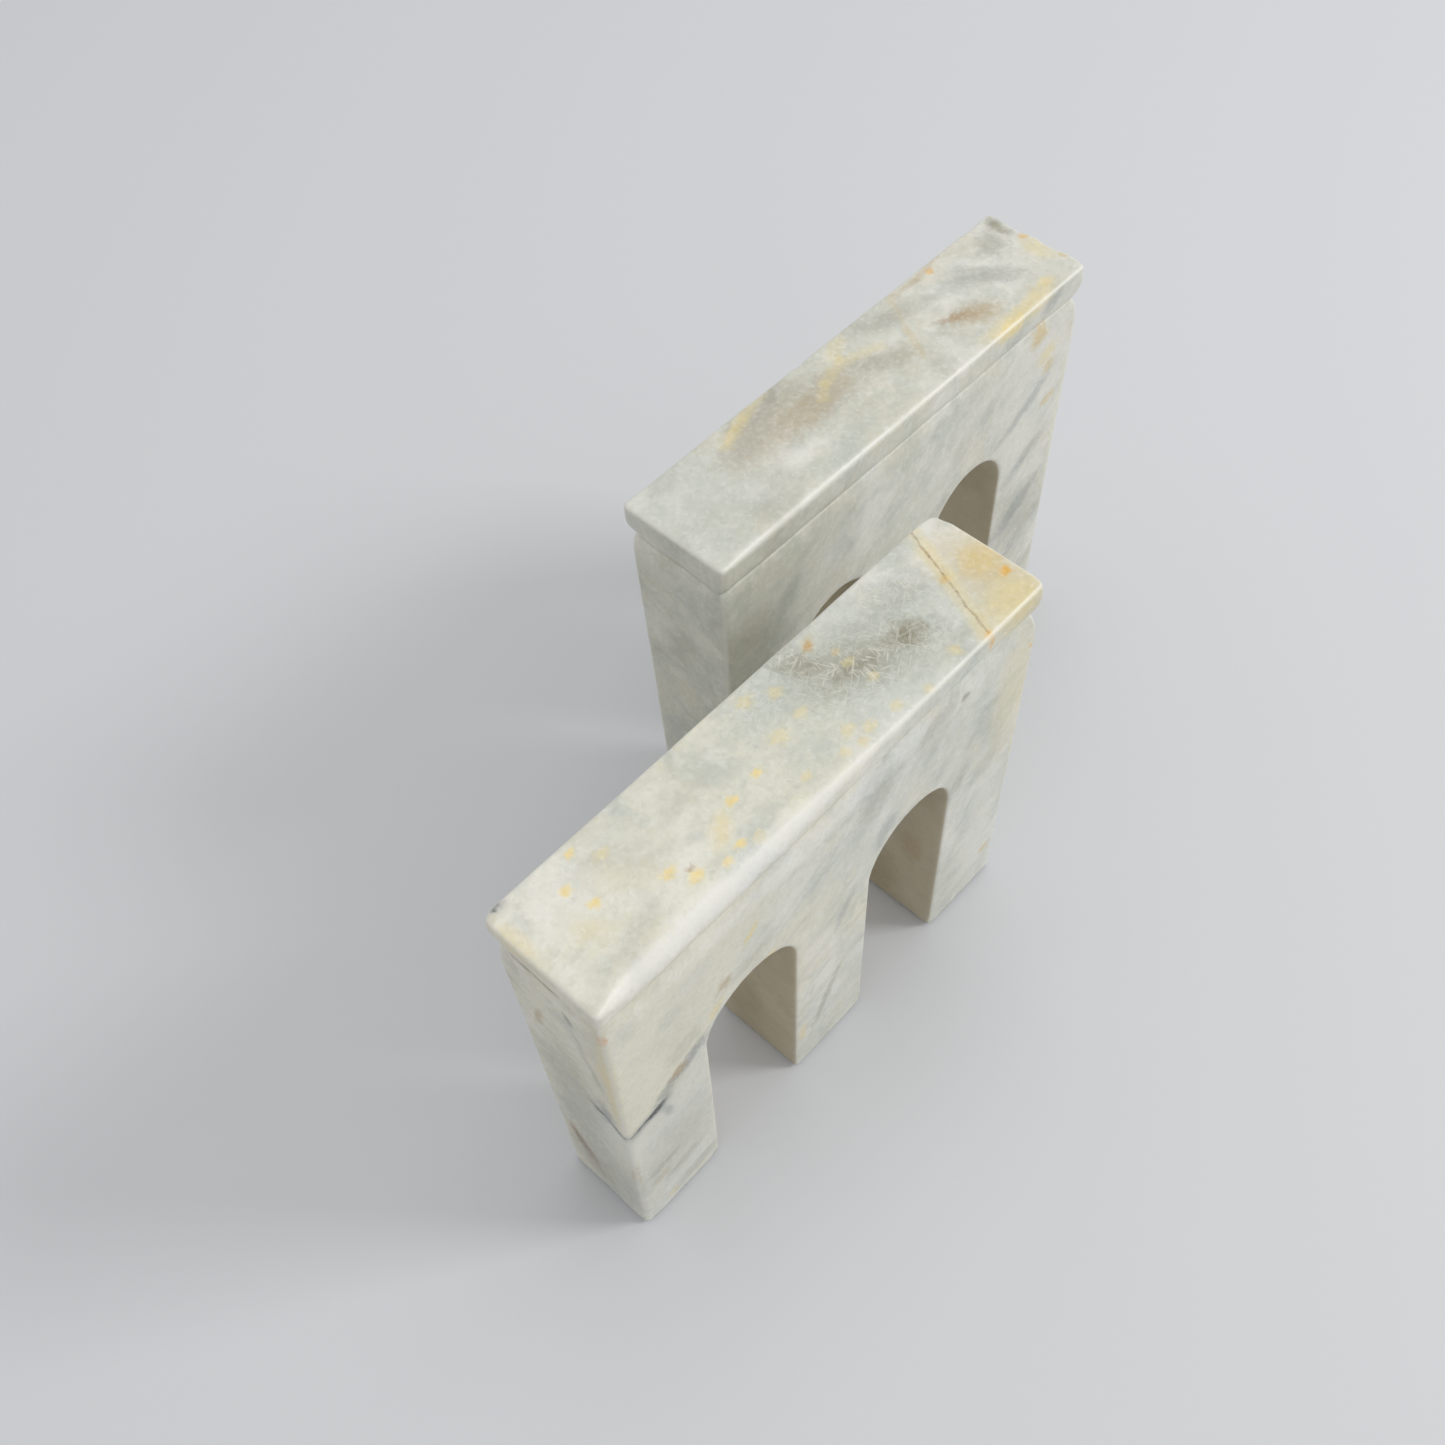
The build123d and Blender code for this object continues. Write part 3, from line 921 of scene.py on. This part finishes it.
    hairline(UMBER, [(1.0, 20, 181.6), (1.0, 32, 181.6), (1.4, 44, 181.6)], 1.8, 0.65, 0.3),
    stain(SMOKE, (0, 20, 34), (8, 32, 42), 0.42, ragged=0.6),
    stain(SLATE, (0, 16, 171), (4, 2.4, 5), 0.55, (-20, 0, 0)),
    stain(SMOKE, (0, 11, 143), (4, 3, 26), 0.4, (-12, 0, 0)),
    # inside the arches
    stain(RUST, (173.3, 14, 55), (6, 8, 14), 0.5, ragged=1.2),
    # partly brown stain, partly painted shade deep inside the arches
    stain(UMBER, (173.3, 30, 20), (6, 16, 30), 0.5),
    stain(UMBER, (86.8, 28, 30), (6, 16, 40), 0.45),
]

REAR_MARKS = [
    stain(GREEN_GREY, (16, 30, 194), (46, 36, 14), 0.45, ragged=0.5),
    stain(SMOKE, (90, 30, 194), (34, 14, 9), 0.35, (0, 0, 10), 0.9),
    stain(TAN, (66, 36, 194), (40, 16, 9), 0.35, (0, 0, 8), 0.8),
    # partly smoky stain, partly painted shadow of the book falling across the top
    stain(SMOKE, (58, 38, 194), (26, 12, 9), 0.4, (0, 0, 12), 0.8),
    stain(SMOKE, (67, 45, 194), (20, 8, 7), 0.4, ragged=0.8),
    stain(OLIVE, (122, 24, 194), (22, 8, 8), 0.3, (0, 0, -20), 0.9),
    stain(TAN, (88, 30, 194), (28, 10, 8), 0.4, (0, 0, 10), 0.9),
    stain(SAND, (178, 46, 194), (28, 8, 6), 0.4),
    hairline(STRAW, [(46, 41, 194), (60, 46, 194), (76, 51, 194)], 4.5, 0.34, 0.9),
    hairline(OCHRE, [(48, 42, 194), (56, 45, 194)], 2.4, 0.2, 0.9),
    hairline(STRAW, [(88, 30, 194), (95, 35, 194), (108, 38, 194), (124, 32, 194)], 3.6, 0.28, 0.9),
    stain(STRAW, (112, 44, 194), (14, 5, 5), 0.32, (0, 0, 30), 1.4),
    stain(PLUM, (78, 47, 194), (12, 4, 6), 0.25, (0, 0, 20)),
    hairline(HONEY, [(150, 50, 194), (144, 40, 194), (138, 30, 194), (131, 16, 194)], 2.4, 0.22, 0.7),
    hairline(TAN, [(180, 49, 194), (163, 46, 194), (150, 47, 194)], 2.4, 0.35, 0.8),
    stain(SMOKE, (134, 42, 194), (20, 8, 8), 0.4, (0, 0, -25)),
    stain(RUST, (157, 19, 194), (13, 2.8, 5), 0.55, (0, 0, -28), 1.2),
    stain(TAN, (163, 16, 194), (16, 8, 6), 0.6, (0, 0, -25), 1.2),
    fleck(ORANGE, (171, 45, 194), 2.4, 0.6),
    stain(SLATE, (188, 22, 194), (15, 7, 7), 0.22, (0, 0, -35), 1.2),
    stain(STRAW, (211, 22, 194), (7, 13, 6), 0.4),
    stain(SMOKE, (180, 30, 194), (22, 9, 8), 0.4, (0, 0, -35), 1.0),
    stain(SMOKE, (200, 36, 194), (12, 9, 8), 0.5, ragged=1.2),
    stain(OLIVE, (211, 42, 194), (4, 9, 6), 0.6),
    stain(STRAW, (176, 3.0, 193), (34, 6, 7), 0.6, ragged=0.7),
    stain(OCHRE, (166, 1.0, 193), (14, 4, 6), 0.4, ragged=0.8),
    stain(OCHRE, (196, 6.5, 194), (6, 4, 4), 0.35),
    stain(HONEY, (213.5, 11, 194), (2.4, 4, 4), 0.6),
    fleck(ORANGE, (213.3, 30, 194), 2.6, 0.6),
    # inner face, towards the books
    stain(MILK, (190, 0, 140), (34, 8, 66), 0.45, ragged=0.6),
    stain(SMOKE, (192, 0, 66), (30, 8, 26), 0.35, ragged=0.6),
    stain(HONEY, (188, 0, 175), (8, 6, 8), 0.75, ragged=1.2),
    stain(STRAW, (196, 0, 160), (9, 6, 8), 0.5, ragged=1.2),
    stain(HONEY, (199, 0, 152), (6, 5, 5), 0.6, (0, -30, 0)),
    stain(HONEY, (202, 0, 131), (7, 5, 4), 0.55, (0, -20, 0)),
    stain(CREAM, (215, 0, 110), (5, 8, 90), 0.6, ragged=0.5),
    stain(SLATE, (194, 0, 190), (12, 7, 6), 0.35, (0, -40, 0)),
    stain(SLATE, (184, 0, 137), (30, 6, 5), 0.36, (0, -32, 0), 0.9),
    stain(SLATE, (191, 0, 71), (28, 6, 7), 0.4, (0, -38, 0), 0.9),
    stain(SLATE, (189, 0, 103), (26, 6, 5), 0.3, (0, -34, 0), 0.9),
    stain(SLATE, (185, 0, 37), (22, 6, 6), 0.3, (0, -38, 0), 0.9),
]

front = measure_end("front")
front.seed, front.worn_front, front.top_arris = 11, 7.5, 1.5
# groove: depth, reach below the joint, reach above it
front.groove = {"left": (3.6, 12, 10), "right": (4.0, 14, 8), "front": (2.2, 11, 7), "back": (2.0, 8, 7)}
front.joint_climb, front.joint_dip, front.seam = 1.6, 0.8, True
front.chips = [  # place, reach, depth
    ((1, 49.5, 194), 5, 0.6), ((0, 4, 180), 6, 0.6), ((215, 1, 193), 6, 0.6), ((174, 0, 170.5), 3.5, 0.5),
    ((131, 0, 181.4), 3.0, 0.4), ((117.5, 0, 174), 2.6, 0.4), ((215, 48, 192), 8, 1.0), ((2, 0, 4), 6, 0.9),
    ((40, 0, 3), 5, 0.7), ((128, 1, 3), 5, 0.6), ((174, 1, 3), 4, 0.7), ((215, 1, 20), 6, 0.6),
]
front.ground, front.cool_to_right = (CREAM, COOL), 0.5
front.streak_turn, front.streak_size, front.streak_strength = (0, 24, 0), 15.0, 0.35
front.marks = FRONT_MARKS

rear = measure_end("rear")
rear.seed, rear.worn_front, rear.top_arris = 23, 2.0, 1.8
rear.groove = {"left": (3.0, 10, 7), "right": (5.4, 16, 8), "front": (1.4, 6, 6), "back": (2.0, 8, 7)}
rear.joint_climb, rear.joint_dip, rear.seam = 0.8, 0.5, False
rear.chips = [
    ((213, 36, 194), 9, 0.9), ((216, 18, 194), 8, 0.6), ((203, 50, 194), 7, 0.7), ((215, 49, 188), 6, 0.8),
    ((216, 2, 193), 6, 0.7), ((96, 50, 194), 5, 0.4), ((1, 1, 4), 5, 0.8),
]
rear.ground, rear.cool_to_right = (REAR_WARM, REAR_COOL), 0.2
rear.streak_turn, rear.streak_size, rear.streak_strength = (0, 34, 0), 16.0, 0.4
rear.marks = REAR_MARKS


def make_end(end, groups, pad_tree):
    """One whole book end: arched block, cap and pads, riding on its body."""
    stone = marble(end, groups)
    body = f"{end.name}_end"
    block = carve(end, f"{end.name}_block", BLOCK_FACE, block_distance,
                  (cut_groove, lift_joint, open_seam, knock_chips), f"{end.name}_arched_stone")
    cap = carve(end, f"{end.name}_cap", CAP_FACE, cap_distance,
                (cut_groove, lift_joint, knock_chips), f"{end.name}_cap_stone")
    for piece, node in ((block, f"{end.name}_block"), (cap, f"{end.name}_cap")):
        piece.data.materials.clear()
        piece.data.materials.append(stone)
        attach(piece, body)
        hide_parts(node)
    pads = lay_pads(end, pad_tree)
    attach(pads, body)
    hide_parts(*(f"{end.name}_{pier}_pad" for pier in ("left", "middle", "right")))


# ---- room ----
def lay_floor():
    """A plain pale floor."""
    mesh = bpy.data.meshes.new("floor")
    reach = 4.0
    corners = [(-reach, -reach, 0), (reach, -reach, 0), (reach, reach, 0), (-reach, reach, 0)]
    mesh.from_pydata(corners, [], [(0, 1, 2, 3)])
    floor = bpy.data.objects.new("floor", mesh)
    bpy.context.scene.collection.objects.link(floor)
    material = bpy.data.materials.new("pale floor")
    material.use_nodes = True
    shader = material.node_tree.nodes["Principled BSDF"]
    shader.inputs["Base Color"].default_value = colour(FLOOR)
    shader.inputs["Roughness"].default_value = 0.55
    shader.inputs["Specular IOR Level"].default_value = 0.25
    mesh.materials.append(material)


def hang_light(name, place, aim, width, power):
    """A square soft light that looks at a point."""
    lamp = bpy.data.lights.new(name, "AREA")
    lamp.size, lamp.energy = width, power
    light = bpy.data.objects.new(name, lamp)
    light.location = place
    light.rotation_euler = (Vector(aim) - Vector(place)).to_track_quat("-Z", "Y").to_euler()
    bpy.context.scene.collection.objects.link(light)


def light_room():
    """Soft low light from the front right, soft light from above, and an even pale surround."""
    world = bpy.data.worlds.new("surround")
    world.use_nodes = True
    world.node_tree.nodes["Background"].inputs["Color"].default_value = (0.98, 0.99, 1.0, 1.0)
    world.node_tree.nodes["Background"].inputs["Strength"].default_value = 0.66
    bpy.context.scene.world = world
    hang_light("window light", (1.68, -1.70, 1.85), (0, 0, 0.1), 0.8, 33.0)
    hang_light("ceiling light", (0.5, 0.2, 2.3), (0, 0, 0), 1.4, 8.0)


def place_camera():
    """Looks down on the pair from the left front."""
    lens = bpy.data.cameras.new("camera")
    lens.lens, lens.sensor_width = 38.12, 36.0
    camera = bpy.data.objects.new("camera", lens)
    camera.location = (-0.2754, -0.2264, 0.5991)
    camera.rotation_euler = [math.radians(a) for a in (34.67, 2.16, -47.07)]
    bpy.context.scene.collection.objects.link(camera)
    bpy.context.scene.camera = camera


marks = {"stain": stain_group(), "hairline": hairline_group()}
pads_in_a_row = felt_pad_tree(felt())
for book_end in (front, rear):
    make_end(book_end, marks, pads_in_a_row)
lay_floor()
light_room()
place_camera()
bpy.context.scene.view_settings.view_transform = "Standard"
